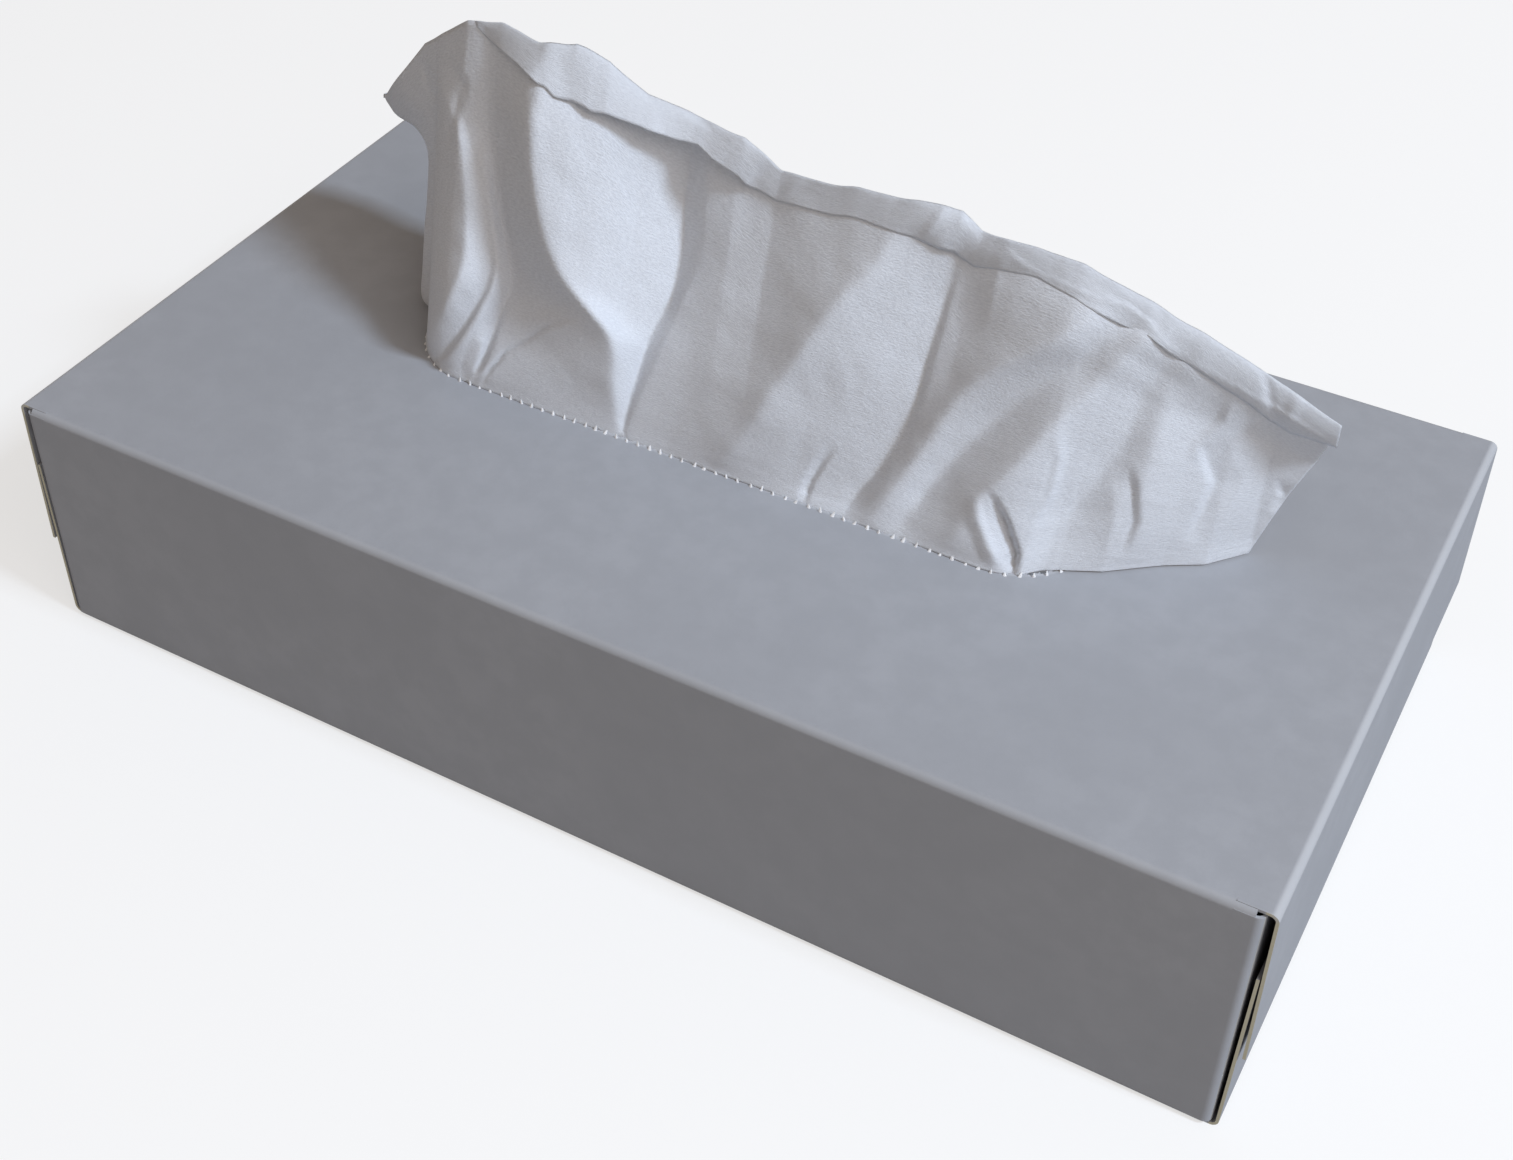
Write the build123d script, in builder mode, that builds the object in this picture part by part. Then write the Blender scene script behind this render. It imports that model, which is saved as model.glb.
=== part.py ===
from build123d import *
from bisect import bisect_right
from math import ceil, pi, sqrt
from random import Random
import os

os.makedirs("parts", exist_ok=True)

# A flat carton of pull-up tissues with one tissue drawn through its slot.
# Millimetres. X runs along the box, Y from front to back and Z up.
# The origin is the middle of the underside.

# The folded carton
length = 230.0          # over the folds of the two end covers
depth = 120.0
height = 50.0
board = 0.5             # thickness of the board
fold_radius = 1.4       # outside radius of every crease
seam_flap = 14.0        # height of the glued seam inside the back panel
seam_lift = 1.0         # bare height under the free edge of the back panel
end_cover = 32.0        # outer end flap, folded down from the top panel
end_backing = 36.0      # inner end flap, folded up from the bottom panel
dust_flap = 42.0        # end flap folded in from the front or the back panel
flap_trim = 0.8         # each end flap is cut this much short of the corner
dust_trim = 0.5         # and each dust flap this much short of the panels over and under it
glue_line = 0.15        # glue between two layers of board
corner_slit = 0.6       # dark slit between the dust flaps and the backing
cover_spring = 0.6      # how far the free edge of the cover stands out
backing_spring = 0.2    # the same for the backing
glue_pad_height = 8.0   # strip of glue between the cover and the backing
glue_pad_width = 84.0

# The torn-out slot in the top panel
slot_length = 130.0
slot_width = 29.0
tooth_pitch = 2.2       # spacing of the cuts of the perforation
tooth_width = 0.9
tooth_length = 0.45     # longest torn tooth

# The folded tissues left in the carton
end_room = 10.0         # bare space at each end of the stack
side_room = 8.0         # bare space in front of the stack and behind it
head_room = 10.0        # bare space over the stack, as the box is used up
stack_bundles = 13      # bulges that the folded edges make on the long sides
stagger = 1.5           # how unevenly the folded edges line up

# The drawn tissue
sheet = 0.4             # two plies, with the air between them
sheet_gap = 0.3         # clearance to what the tissue touches
tail_depth = 46.0       # how far behind the middle the buried half reaches
tail_tuck = 5.0         # where the tucked-under layer ends
hem_stand = 3.2         # how far the turned-over hem stands in front
neck_inset = 8.0        # from the left end of the slot to the tissue
neck_inset_right = 4.0  # and from the right end
tip_trim = 1.0          # blunts the two pointed corners of the tissue

half_length = length / 2
half_slot = slot_length / 2
slot_radius = slot_width / 2
stack_length = length - 2 * end_room
stack_depth = depth - 2 * side_room
stack_height = height - 2 * board - head_room


# Carton

cover_face = half_length
backing_face = cover_face - board - glue_line
dust_face = backing_face - board - corner_slit
sleeve_end = dust_face - fold_radius
flap_overlap = 3.0
bend = fold_radius - board / 2
flap_width = depth - 2 * flap_trim


def perforation():
    """Centres and directions of the torn teeth around the slot, as x, y, angle."""
    straight = slot_length - slot_width
    count = round(straight / tooth_pitch)
    for side, angle in ((-1, 90), (1, -90)):
        for i in range(count):
            yield -straight / 2 + (i + 0.5) * straight / count, side * slot_radius, angle
    arc_count = round(pi * slot_radius / tooth_pitch)
    for side in (-1, 1):
        for i in range(arc_count):
            turn = -90 + (i + 0.5) * 180 / arc_count
            arm = Vector(slot_radius, 0).rotate(Axis.Z, turn)
            yield side * (straight / 2 + arm.X), arm.Y, side * turn


with BuildPart() as carton:
    # The sleeve is one board wrapped round to a seam inside the lower edge of the back panel
    with BuildSketch(Plane.YZ) as sleeve_section:
        with BuildLine():
            back = depth / 2 - board / 2
            top = height - board / 2
            FilletPolyline(
                (back, seam_lift),
                (back, top),
                (-back, top),
                (-back, board / 2),
                (back - board - glue_line, board / 2),
                (back - board - glue_line, seam_flap),
                radius=bend,
            )
        trace(line_width=board)
        # The glue that fills the middle of the seam
        with Locations((back - (board + glue_line) / 2, seam_flap / 2 + fold_radius)):
            Rectangle(board, seam_flap / 2)
    extrude(amount=sleeve_end)

    # The cover hangs from the top panel
    with BuildSketch(Plane.XZ) as cover_section:
        with BuildLine():
            FilletPolyline(
                (sleeve_end - flap_overlap, height - board / 2),
                (cover_face - board / 2, height - board / 2),
                (cover_face - board / 2 + cover_spring, height - end_cover),
                radius=bend,
            )
        trace(line_width=board)
    extrude(amount=flap_width / 2, both=True)

    # The backing stands on the bottom panel behind the cover
    with BuildSketch(Plane.XZ) as backing_section:
        with BuildLine():
            FilletPolyline(
                (sleeve_end - flap_overlap, board / 2),
                (backing_face - board / 2, board / 2),
                (backing_face - board / 2 + backing_spring, end_backing),
                radius=bend,
            )
        trace(line_width=board)
    extrude(amount=flap_width / 2, both=True)

    # A strip of glue holds the cover to the backing
    with Locations((backing_face + glue_line, 0, height - end_cover + glue_pad_height)):
        Box(board, glue_pad_width, glue_pad_height)

    # Two dust flaps fold in behind them
    for side in (-1, 1):
        with BuildSketch(Plane.XY.offset(board + dust_trim)) as dust_section:
            with BuildLine():
                FilletPolyline(
                    (sleeve_end - flap_overlap, side * back),
                    (dust_face - board / 2, side * back),
                    (dust_face - board / 2, side * (depth / 2 - dust_flap)),
                    radius=bend,
                )
            trace(line_width=board)
        extrude(amount=height - 2 * (board + dust_trim))

    mirror(about=Plane.YZ)

    # The slot, with the teeth that the perforation leaves round its edge
    torn = Random(4)
    with BuildSketch(Plane.XY.offset(height - 2 * board)) as slot_outline:
        SlotOverall(slot_length, slot_width)
        for x, y, angle in perforation():
            reach = tooth_length * torn.uniform(0.4, 1.0)
            with Locations(Location((x, y, 0), (0, 0, angle))):
                Rectangle(2 * reach, tooth_width, mode=Mode.SUBTRACT)
    extrude(amount=3 * board, mode=Mode.SUBTRACT)

carton.part.label = "carton"
export_step(carton.part, "parts/carton.step")


# Folded stack

bundle = stack_height / stack_bundles

with BuildPart() as tissue_stack:
    shrink = Random(2)
    with BuildSketch(Plane.YZ.offset(-stack_length / 2)) as stack_section:
        for i in range(stack_bundles):
            with Locations((0, board + (i + 0.5) * bundle)):
                RectangleRounded(stack_depth - shrink.uniform(0, stagger), bundle, bundle * 0.4)
    extrude(amount=stack_length)

tissue_stack.part.label = "tissue_stack"
export_step(tissue_stack.part, "parts/tissue_stack.step")


# Drawn tissue
# It is mapped by u, its place across the slot in hundredths of half the slot's length, and
# v, its height, which is 0 at the slot and 1 on the crest.

# Crest: u, distance behind the middle of the slot, rise above the top panel
crest_line = (
    (-123, 9.0, 38.0),
    (-106, 7.5, 52.0),
    (-86, 3.0, 61.5),
    (-74, 2.3, 63.3),
    (-62, 1.2, 62.4),
    (-50, 0.4, 64.3),
    (-40, 0.0, 63.3),
    (-29, 0.0, 59.3),
    (-2, 0.0, 56.7),
    (8, 0.2, 52.0),
    (16, 0.5, 52.4),
    (55, 1.8, 53.5),
    (60, 2.0, 51.0),
    (85, 4.0, 49.0),
    (101, 5.4, 45.0),
    (125, 8.4, 37.5),
    (148, 11.6, 29.0),
)

# Free lower edge of the hem that is turned over the crest: u, rise above the top panel
hem_line = (
    (-123, 37.0),
    (-100, 52.0),
    (-86, 58.5),
    (-70, 59.0),
    (-56, 57.0),
    (-46, 55.5),
    (-10, 54.5),
    (4, 49.5),
    (56, 47.5),
    (80, 45.5),
    (104, 40.5),
    (128, 32.5),
    (148, 27.5),
)

# Left cut edge, from the slot to the tip of the lobe: u, rise
left_edge = (
    (-123, 36.8),
    (-115, 36.4),
    (-99, 36.0),
    (-96, 28.0),
    (-94, 11.0),
    (-88, 0.0),
)

# Right cut edge, which lies on the top panel and then climbs to the crest: u, y, rise
right_edge = (
    (94, -9.6, 0.0),
    (105, -6.0, 0.0),
    (117, 0.4, 0.0),
    (134, 10.0, 0.0),
    (140, 10.6, 13.5),
    (144, 11.0, 20.5),
    (148, 11.6, 27.0),
)

# Folds, from the left: u and set-back in millimetres at v = 0, 1/4, 1/2, 3/4 and 1
folds = (
    ((-88, 0.0), (-94, 0.0), (-96, 0.0), (-108, 0.5), (-123, 0.0)),
    ((-86, 0.0), (-87, -1.2), (-82, -2.5), (-80, -1.5), (-92, 0.0)),
    ((-82, 1.2), (-80, 1.5), (-74, 2.0), (-71, 2.0), (-76, 1.0)),
    ((-78, 0.2), (-73, 0.0), (-69, 0.8), (-67, 1.2), (-70, 0.3)),
    ((-74, 1.8), (-67, 2.8), (-63, 3.2), (-65, 2.5), (-65, 1.2)),
    ((-50, 1.0), (-48, 2.0), (-52, -3.5), (-63, -2.5), (-59, -0.5)),
    ((-30, 0.0), (-31, 0.6), (-40, -0.6), (-46, 0.2), (-45, 0.3)),
    ((-25, 3.5), (-23, 6.0), (-16, 5.5), (-17, 5.0), (-15, 2.0)),
    ((-21, 0.5), (-17, 1.0), (-11, 1.0), (-10, 1.0), (-9, 1.0)),
    ((3, 0.0), (11, -2.0), (20, -3.0), (29, -2.0), (34, -0.5)),
    ((38, 2.5), (47, 4.5), (54, 5.0), (55, 4.0), (56, 1.5)),
    ((41, 0.8), (50, 1.5), (56, 2.5), (57, 2.0), (58, 0.8)),
    ((48, 0.0), (61, -1.5), (74, -1.5), (86, 0.0), (90, 0.5)),
    ((65, 2.5), (72, 3.5), (82, 3.5), (92, 2.0), (98, 1.0)),
    ((75, 0.0), (82, -1.2), (103, -1.0), (108, 0.0), (112, 0.0)),
    ((93, 0.0), (100, 1.5), (106, 0.8), (114, 0.8), (120, 0.3)),
    ((110, 0.0), (111, -0.5), (112, -0.3), (120, 0.3), (128, 0.0)),
    ((124, 0.0), (125, 0.8), (126, 0.8), (130, 0.6), (138, 0.0)),
    ((134, 0.0), (140, 0.0), (144, 0.0), (147, 0.0), (148, 0.0)),
)

face_rows = 8           # rows of facets between the slot and the crest
station_step = 3.4      # spacing of the sections along the tissue


def along(table, u, column):
    """A column of a table at u, by straight lines between its rows."""
    rows = sorted(table)
    u = min(max(u, rows[0][0]), rows[-1][0])
    i = min(max(bisect_right([row[0] for row in rows], u) - 1, 0), len(rows) - 2)
    low, high = rows[i], rows[i + 1]
    return low[column] + (high[column] - low[column]) * (u - low[0]) / (high[0] - low[0])


def set_back(u, v):
    """How far the folds push the tissue back at u, v."""
    at = min(max(v, 0.0), 1.0) * 4
    row = min(int(at), 3)
    part = at - row
    lines = []
    for fold in folds:
        low, high = fold[row], fold[row + 1]
        lines.append((low[0] + (high[0] - low[0]) * part, low[1] + (high[1] - low[1]) * part))
    return along(lines, u, 1)


def slot_front(x):
    """Y of the slot's front edge at x, in the straight part or in an end arc."""
    into_arc = min(max(abs(x) - (half_slot - slot_radius), 0.0), slot_radius)
    return -sqrt(slot_radius ** 2 - into_arc ** 2)


def foot(u):
    """Where the tissue leaves the slot or stands on the top panel, as y and rise."""
    x = u / 100 * half_slot
    if u <= right_edge[0][0]:
        return slot_front(x) + tooth_length + sheet_gap + sheet / 2, 0.0
    return along(right_edge, u, 1), along(right_edge, u, 2) + sheet_gap


def point_on(u, v):
    """Y and Z of the tissue at u, v."""
    foot_y, foot_rise = foot(u)
    rise = along(crest_line, u, 2)
    y = foot_y + (along(crest_line, u, 1) - foot_y) * v + set_back(u, v)
    return y, height + foot_rise + (rise - foot_rise) * v


def hem(u):
    """Points of the hem, from the crest to its free edge."""
    y, z = point_on(u, 1)
    drop = along(crest_line, u, 2) - along(hem_line, u, 1)
    return [(y - 0.5 * hem_stand, z - 0.1), (y - hem_stand, z - drop)]


def buried():
    """Points of the buried half, from the end of the tucked layer to the upper layer."""
    floor = board + stack_height + sheet_gap + sheet / 2
    lift = sheet + 2 * sheet_gap
    return [
        (tail_tuck, floor),
        (tail_depth, floor),
        (tail_depth + lift, floor + lift / 2),
        (tail_depth, floor + lift),
    ]


def ribbon(points):
    """Outline of a strip, one sheet thick, along a run of points."""
    path = [Vector(*point) for point in points]
    left, right = [], []
    for i, point in enumerate(path):
        before = (point - path[i - 1]).normalized() if i else None
        after = (path[i + 1] - point).normalized() if i < len(path) - 1 else None
        along_path = ((before or after) + (after or before)).normalized()
        across = Vector(-along_path.Y, along_path.X) * sheet / 2
        left.append(point + across)
        right.append(point - across)
    return left + right[::-1]


def stations(start, end):
    """Evenly spaced places along X from start to end."""
    count = ceil(abs(end - start) / station_step)
    return [start + (end - start) * i / count for i in range(count + 1)]


def section(x, points):
    """One section of the tissue across X."""
    return Face(Wire.make_polygon([(x, point.X, point.Y) for point in ribbon(points)]))


def drape(u, v_from):
    """Points of the free half at u, from v_from to the hem's edge."""
    rows = [v_from + (1 - v_from) * i / face_rows for i in range(face_rows + 1)]
    return [point_on(u, v) for v in rows] + hem(u)


neck_left = -(half_slot - neck_inset)
neck_right = half_slot - neck_inset_right
per_mm = 100 / half_slot
lobe_tip = crest_line[0][0] / per_mm
corner_tip = crest_line[-1][0] / per_mm

with BuildPart() as pulled_tissue:
    # Through the slot: buried half, neck, face and hem in one run
    through = []
    for x in stations(neck_left, neck_right):
        y, z = point_on(x * per_mm, 0)
        upper = buried()[-1][1]
        neck = [(y + 12, upper), (y + 6, upper + 0.8), (y + 1.2, (upper + height) / 2)]
        neck.append((y, height - 2 * board))
        through.append(section(x, buried() + neck + drape(x * per_mm, 0)))
    loft(through, ruled=True, clean=False)

    # Left of the slot: the side edge that flares out into a lobe
    lobe = []
    for x in stations(neck_left, lobe_tip + tip_trim):
        u = x * per_mm
        start = along(left_edge, u, 1) / along(crest_line, u, 2)
        lobe.append(section(x, drape(u, start)))
    loft(lobe, ruled=True, clean=False)

    # Right of the slot: the side edge that stands on the panel
    standing = []
    for x in stations(neck_right, corner_tip - tip_trim):
        standing.append(section(x, drape(x * per_mm, 0)))
    loft(standing, ruled=True, clean=False)

    # Both wings of the buried half widen to the whole sheet inside the carton
    for side, start in ((-1, neck_left), (1, neck_right)):
        wing = []
        for x, front in ((start, 0.0), (side * stack_length / 2, tail_depth * 0.8)):
            wing.append(section(x, buried() + [(front, buried()[-1][1])]))
        loft(wing, ruled=True, clean=False)

pulled_tissue.part.label = "pulled_tissue"
export_step(pulled_tissue.part, "parts/pulled_tissue.step")
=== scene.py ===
import math
import random

import bmesh
import bpy
import numpy as np
from mathutils import Euler, Matrix, Vector, noise


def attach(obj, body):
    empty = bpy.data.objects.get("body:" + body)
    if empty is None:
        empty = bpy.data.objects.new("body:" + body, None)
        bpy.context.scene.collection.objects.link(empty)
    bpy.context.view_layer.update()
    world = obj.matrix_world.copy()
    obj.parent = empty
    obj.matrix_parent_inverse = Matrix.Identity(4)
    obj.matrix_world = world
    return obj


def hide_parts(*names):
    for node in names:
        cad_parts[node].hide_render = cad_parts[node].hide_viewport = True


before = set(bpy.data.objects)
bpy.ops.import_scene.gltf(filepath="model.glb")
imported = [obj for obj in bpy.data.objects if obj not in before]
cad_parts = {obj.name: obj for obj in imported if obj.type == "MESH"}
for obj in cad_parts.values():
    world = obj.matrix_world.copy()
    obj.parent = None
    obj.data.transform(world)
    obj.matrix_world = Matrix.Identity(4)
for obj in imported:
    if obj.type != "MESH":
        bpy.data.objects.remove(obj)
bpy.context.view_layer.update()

MM = 0.001

# Sizes that the looks share with the solids, in millimetres
BOX_LENGTH = 230.0
BOX_DEPTH = 120.0
BOX_HEIGHT = 50.0
SLOT_LENGTH = 130.0
SLOT_WIDTH = 29.0
HALF_SLOT = SLOT_LENGTH / 2
SLOT_RADIUS = SLOT_WIDTH / 2
SLOT_STRAIGHT = SLOT_LENGTH - SLOT_WIDTH
TOOTH_PITCH = 2.2
FLAP_TRIM = 0.8         # by which the side edges of the end flaps stand back
STACK_TOP = 39.5
STACK_LENGTH = 210.0

# The flat sheet before it was folded and drawn
SHEET_WIDTH = 210.0
SHEET_LENGTH = 200.0
SHEET_THICKNESS = 0.16
SEEN_THROUGH = 0.18     # share of the light that the tissue lets through

# Frayed tips round the slot, in millimetres
TIP_OUT = 0.55          # from the slot's outline to the tips
TIP_FOOT = 0.5          # radius of a tip at its foot
TIP_END = 0.16          # and at its end
TIP_THIN = 0.35         # share of that across the outline
TIP_LIFT = 0.35         # share of its height by which its middle is raised
TIP_SUNK = 0.05         # by which its foot is sunk in the panel

# Lamps: name, place, size, watts and colour
LAMPS = (
    ("window", (1.40, -0.11, 1.50), 0.32, 30.6, (0.71, 0.835, 1.0)),
    ("screen", (1.35, -0.85, 1.45), 1.1, 10.0, (1.0, 0.94, 0.91)),
)
LAMP_AIM = (0, 0, 0.05)
ROOM_COLOR = (1.0, 0.86, 0.74, 1.0)
ROOM_STRENGTH = 0.31
FLOOR_HALF = 20.0       # half the side of the floor, in metres

# The photograph's camera
CAMERA_PLACE = (0.1368, -0.2545, 0.2757)
CAMERA_TURN = (49.63, 0.50, 30.45)
CAMERA_LENS = 49.79
CAMERA_SHIFT = (0.0556, -0.0468)


# Shader expressions


class Value:
    """A shader socket that takes part in Python arithmetic."""

    def __init__(self, material, socket):
        self.material = material
        self.socket = socket

    def _math(self, operation, *inputs):
        return self.material.node("ShaderNodeMath", {"operation": operation}, dict(enumerate(inputs)))

    def __add__(self, other):
        return self._math("ADD", self, other)

    def __sub__(self, other):
        return self._math("SUBTRACT", self, other)

    def __mul__(self, other):
        return self._math("MULTIPLY", self, other)

    def __radd__(self, other):
        return self._math("ADD", other, self)

    def __rsub__(self, other):
        return self._math("SUBTRACT", other, self)

    def __rmul__(self, other):
        return self._math("MULTIPLY", other, self)

    def __abs__(self):
        return self._math("ABSOLUTE", self)

    def largest(self, other):
        return self._math("MAXIMUM", self, other)

    def smallest(self, other):
        return self._math("MINIMUM", self, other)

    def root(self):
        return self._math("SQRT", self)

    def sine(self):
        return self._math("SINE", self)

    def step(self, low, high):
        """0 below low, 1 above high and smooth between them."""
        inputs = {"Value": self, "From Min": low, "From Max": high}
        return self.material.node("ShaderNodeMapRange", {"interpolation_type": "SMOOTHSTEP"}, inputs)

    def nears(self, edge, start, end):
        """0 to 1 as a place comes from start to end millimetres short of an edge."""
        return self.step((edge - start) * MM, (edge - end) * MM)


class Finish:
    """A node material built from expressions."""

    def __init__(self, name):
        self.block = bpy.data.materials.new(name)
        self.block.use_nodes = True
        self.tree = self.block.node_tree
        self.surface = self.tree.nodes["Principled BSDF"]
        self.output = self.tree.nodes["Material Output"]

    def node(self, kind, settings=None, inputs=None, out=0):
        """A node of a kind, its settings first and then its sockets."""
        made = self.tree.nodes.new(kind)
        for key, value in (settings or {}).items():
            setattr(made, key, value)
        for key, value in (inputs or {}).items():
            self.feed(made.inputs[key], value)
        return Value(self, made.outputs[out])

    def feed(self, socket, value):
        if isinstance(value, Value):
            self.tree.links.new(value.socket, socket)
        else:
            socket.default_value = value

    def where(self):
        """The point's place on the piece, in metres."""
        return self.node("ShaderNodeTexCoord", out=3)

    def axis(self, where, i):
        """X, Y or Z of a place."""
        return self.node("ShaderNodeSeparateXYZ", {}, {0: where}, out=i)

    def cloud(self, where, scale, detail, roughness):
        """Noise from 0 to 1 at so many blotches a metre."""
        inputs = {"Vector": where, "Scale": scale, "Detail": detail, "Roughness": roughness}
        return self.node("ShaderNodeTexNoise", {}, inputs)

    def blend(self, share, low, high):
        """A colour between two, by a share from 0 to 1."""
        return self.node("ShaderNodeMix", {"data_type": "RGBA"}, {0: share, 6: low, 7: high}, out=2)

    def bump(self, height, distance, strength):
        """A normal from a height, at a distance in metres."""
        inputs = {"Height": height, "Distance": distance, "Strength": strength}
        return self.node("ShaderNodeBump", {}, inputs)

    def cover(self, share, shader):
        """Mixes a shader over the surface by a share."""
        surface = Value(self, self.surface.outputs[0])
        mix = self.node("ShaderNodeMixShader", {}, {0: share, 1: surface, 2: shader})
        self.feed(self.output.inputs["Surface"], mix)

    def finish(self, **sockets):
        """The material, once these sockets of its surface are fed."""
        names = {"color": "Base Color", "roughness": "Roughness", "normal": "Normal"}
        for key, value in sockets.items():
            self.feed(self.surface.inputs[names[key]], value)
        return self.block


def srgb(red, green, blue):
    """A shader colour from the usual 0 to 255 values."""
    linear = []
    for part in (red / 255, green / 255, blue / 255):
        linear.append(part / 12.92 if part <= 0.04045 else ((part + 0.055) / 1.055) ** 2.4)
    return (*linear, 1.0)


# Materials


def carton_board():
    """Thin coated board: faint mottle, fine fibre, paler torn or cut edges, and a painted highlight on
    the creases round the top panel.
    """
    mat = Finish("carton_board")
    where = mat.where()
    x, y, z = (mat.axis(where, i) for i in range(3))
    mottle = mat.cloud(where, scale=160.0, detail=4.0, roughness=0.6)
    patches = mat.cloud(where, scale=22.0, detail=2.0, roughness=0.5)
    color = mat.blend(mottle.step(0.35, 0.68), srgb(162, 164, 169), srgb(167, 169, 174))
    color = mat.blend(patches.step(0.42, 0.62) * 0.5, color, srgb(159, 161, 166))

    # Raw edge round the slot, by how far a point of the top panel is from the slot's outline
    into_arc = (abs(x) - SLOT_STRAIGHT / 2 * MM).largest(0.0)
    from_axis = (into_arc * into_arc + y * y).root()
    rim = 1 - abs(from_axis - SLOT_RADIUS * MM).step(0.1 * MM, 0.65 * MM)
    rim = rim * z.nears(BOX_HEIGHT, 1.0, 0.6)
    color = mat.blend(rim * 0.25, color, srgb(226, 227, 228))

    # Raw side edges of the end flaps
    from_edge = abs(abs(y) - (BOX_DEPTH / 2 - FLAP_TRIM) * MM)
    cut = (1 - from_edge.step(0.0, 0.06 * MM)) * abs(x).nears(BOX_LENGTH / 2, 2.2, 1.9)
    color = mat.blend(cut * 0.8, color, srgb(214, 208, 178))

    # Painted highlight on the rounded creases round the top panel, fainter on the front and back
    # creases than on the end ones
    creases = abs(y).nears(BOX_DEPTH / 2, 1.2, 0.6) * 0.45 + abs(x).nears(BOX_LENGTH / 2, 1.4, 0.8)
    painted_crease_highlight = z.nears(BOX_HEIGHT, 1.5, 0.9) * creases.smallest(1.0) * (1 - patches * 0.5)
    color = mat.blend(painted_crease_highlight * 0.7, color, srgb(196, 197, 199))

    fibre = mat.cloud(where, scale=1400.0, detail=2.0, roughness=0.6)
    lumps = mat.cloud(where, scale=45.0, detail=2.0, roughness=0.4)
    normal = mat.bump(fibre * 0.35 + mottle * 0.4 + lumps, distance=0.1 * MM, strength=0.5)
    return mat.finish(color=color, roughness=0.62 + mottle * 0.12, normal=normal)


def torn_fibre():
    """The white inside of the board where it was torn."""
    mat = Finish("torn_fibre")
    fuzz = mat.cloud(mat.where(), scale=3000.0, detail=2.0, roughness=0.6)
    color = mat.blend(fuzz, srgb(236, 236, 236), srgb(250, 250, 250))
    normal = mat.bump(fuzz, distance=0.2 * MM, strength=0.6)
    return mat.finish(color=color, roughness=0.95, normal=normal)


def tissue_paper():
    """Soft two-ply tissue: matt, slightly see-through, with a fine crepe."""
    mat = Finish("tissue_paper")
    flat = mat.node("ShaderNodeUVMap", {"uv_map": "flat"})
    size = (SHEET_WIDTH * MM, SHEET_LENGTH * MM, 1.0)
    sheet = mat.node("ShaderNodeMapping", {}, {"Vector": flat, "Scale": size})
    crepe = mat.node("ShaderNodeMapping", {}, {"Vector": sheet, "Scale": (1.0, 1.5, 1.0)})
    fine = mat.cloud(crepe, scale=1100.0, detail=3.0, roughness=0.7)
    soft = mat.cloud(sheet, scale=200.0, detail=3.0, roughness=0.55)
    color = mat.blend(fine.step(0.3, 0.7), srgb(226, 229, 235), srgb(244, 247, 252))
    normal = mat.bump(fine * 0.9 + soft * 0.8, distance=0.25 * MM, strength=0.7)
    glow = mat.node("ShaderNodeBsdfTranslucent", {}, {"Color": srgb(226, 228, 232), "Normal": normal})
    mat.cover(SEEN_THROUGH, glow)
    return mat.finish(color=color, roughness=0.93, normal=normal)


def stacked_paper():
    """The pile of folded sheets: soft paper with thin lines between the layers."""
    mat = Finish("stacked_paper")
    where = mat.where()
    z = mat.axis(where, 2)
    wander = mat.cloud(where, scale=60.0, detail=2.0, roughness=0.5) * (0.9 * MM)
    layers = ((z + wander) * 15000.0).sine()
    soft = mat.cloud(where, scale=120.0, detail=3.0, roughness=0.5)
    side = 1 - z.nears(STACK_TOP, 0.6, 0.2)
    color = mat.blend(soft.step(0.3, 0.7), srgb(218, 220, 225), srgb(228, 230, 234))
    color = mat.blend(side * (1 - layers.step(-1.0, 0.2)) * 0.35, color, srgb(165, 165, 170))
    normal = mat.bump(soft * 1.5 + layers * side * 0.3, distance=0.3 * MM, strength=0.6)
    return mat.finish(color=color, roughness=0.93, normal=normal)


# Drawn tissue
# Its place is given by u, across the slot in hundredths of half the slot's length, and
# v, its height, which is 0 at the slot and 1 on the crest. Depths are in millimetres
# along the line of sight, away from the camera.

# Crest: u, distance behind the middle of the slot, rise above the top panel
CREST = (
    (-123, 9.0, 38.0),
    (-106, 7.5, 52.0),
    (-86, 3.0, 61.5),
    (-74, 2.3, 63.3),
    (-62, 1.2, 62.4),
    (-50, 0.4, 64.3),
    (-40, 0.0, 63.3),
    (-29, 0.0, 59.3),
    (-2, 0.0, 56.7),
    (8, 0.2, 52.0),
    (16, 0.5, 52.4),
    (55, 1.8, 53.5),
    (60, 2.0, 51.0),
    (85, 4.0, 49.0),
    (101, 5.4, 45.0),
    (125, 8.4, 37.5),
    (148, 11.6, 29.0),
)

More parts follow.
